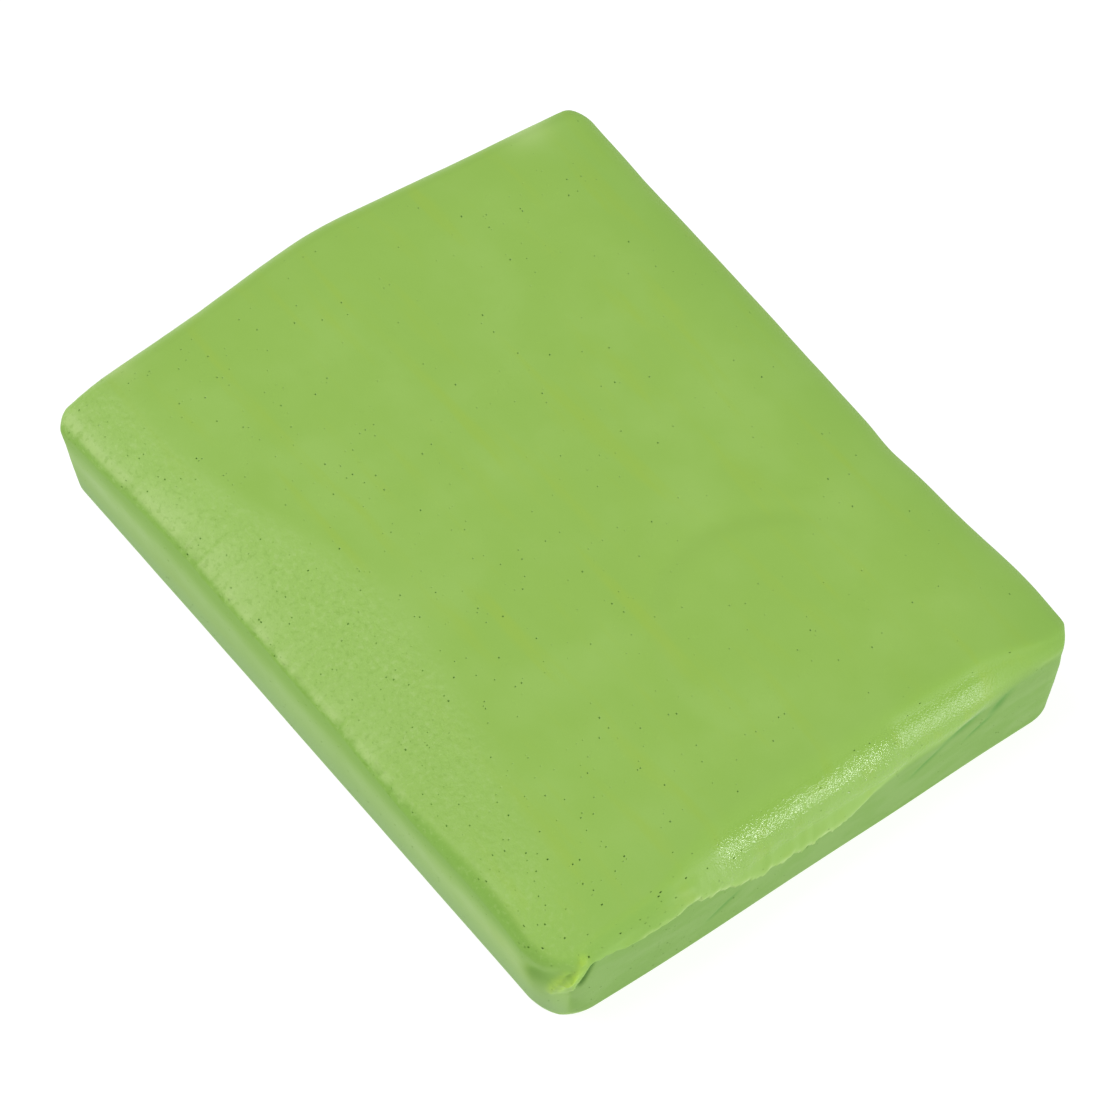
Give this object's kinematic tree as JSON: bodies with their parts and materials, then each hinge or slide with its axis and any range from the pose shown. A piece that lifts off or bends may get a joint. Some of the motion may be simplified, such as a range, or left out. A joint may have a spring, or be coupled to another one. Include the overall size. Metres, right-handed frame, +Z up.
{
  "type": "clay bar",
  "caption": "Flat rectangular slab of soft green detailing clay with rounded edges, cut ends and pressed-in sides, rubbed over lubricated car paint to lift off bonded dirt.",
  "frame": {"origin": "middle of the underside, at the height of the surface the bar lies on", "axes": "+X along the bar towards the end that was cut last, +Y across it towards the side at full height, +Z up"},
  "size_m": [0.082, 0.0648, 0.0145],
  "materials": {
    "clay": "soft, kneadable green polishing clay with a satin pressed skin, fine pinholes and duller, greyer cut ends"
  },
  "bodies": {
    "root": {"clay_bar": "clay"}
  },
  "joints": []
}
